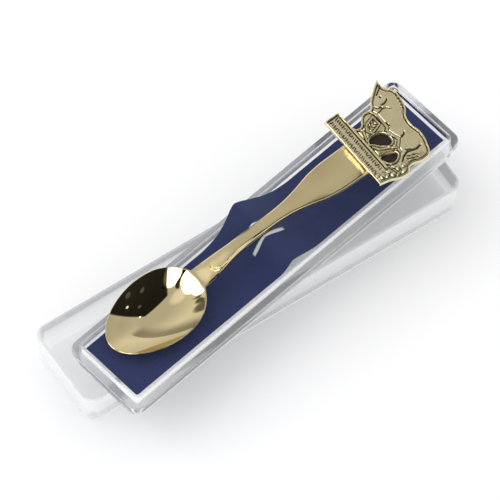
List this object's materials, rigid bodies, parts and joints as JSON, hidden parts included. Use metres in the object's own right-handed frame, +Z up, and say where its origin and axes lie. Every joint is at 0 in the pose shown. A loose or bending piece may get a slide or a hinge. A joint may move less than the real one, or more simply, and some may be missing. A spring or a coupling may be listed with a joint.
{
  "type": "souvenir spoon",
  "caption": "Small gold souvenir spoon with a horse plaque on its handle, lying on a flocked card in a clear tray that stands on its open lid.",
  "frame": {"origin": "on the underside of the lid's floor, straight below the middle of the tray", "axes": "+X along the tray from the bowl to the plaque, +Y to the left of the spoon as seen from the bowl, +Z up"},
  "size_m": [0.1445, 0.0533, 0.0428],
  "materials": {
    "gold_plate": "polished gold plate",
    "antique_gold": "satin gold with dark antique recesses",
    "plated_solder": "bright gold plate",
    "blue_flock": "dark blue flocked card",
    "tray_plastic": "clear moulded polystyrene",
    "lid_plastic": "clear moulded polystyrene"
  },
  "bodies": {
    "lid": {"case_lid": "lid_plastic"},
    "tray": {"case_tray": "tray_plastic"},
    "insert": {"insert_card": "blue_flock"},
    "spoon": {"spoon": "gold_plate", "emblem_plaque": "antique_gold", "solder_fillet": "plated_solder"}
  },
  "joints": [
    {"name": "tray_lift", "type": "slide", "parent": "lid", "child": "tray", "axis": [0, 0, 1], "range_m": [0, 0.04]},
    {"name": "insert_lift", "type": "slide", "parent": "tray", "child": "insert", "axis": [0, 0, 1], "range_m": [0, 0.03]},
    {"name": "spoon_lift", "type": "slide", "parent": "insert", "child": "spoon", "axis": [0, 0, 1], "range_m": [0, 0.05]}
  ]
}
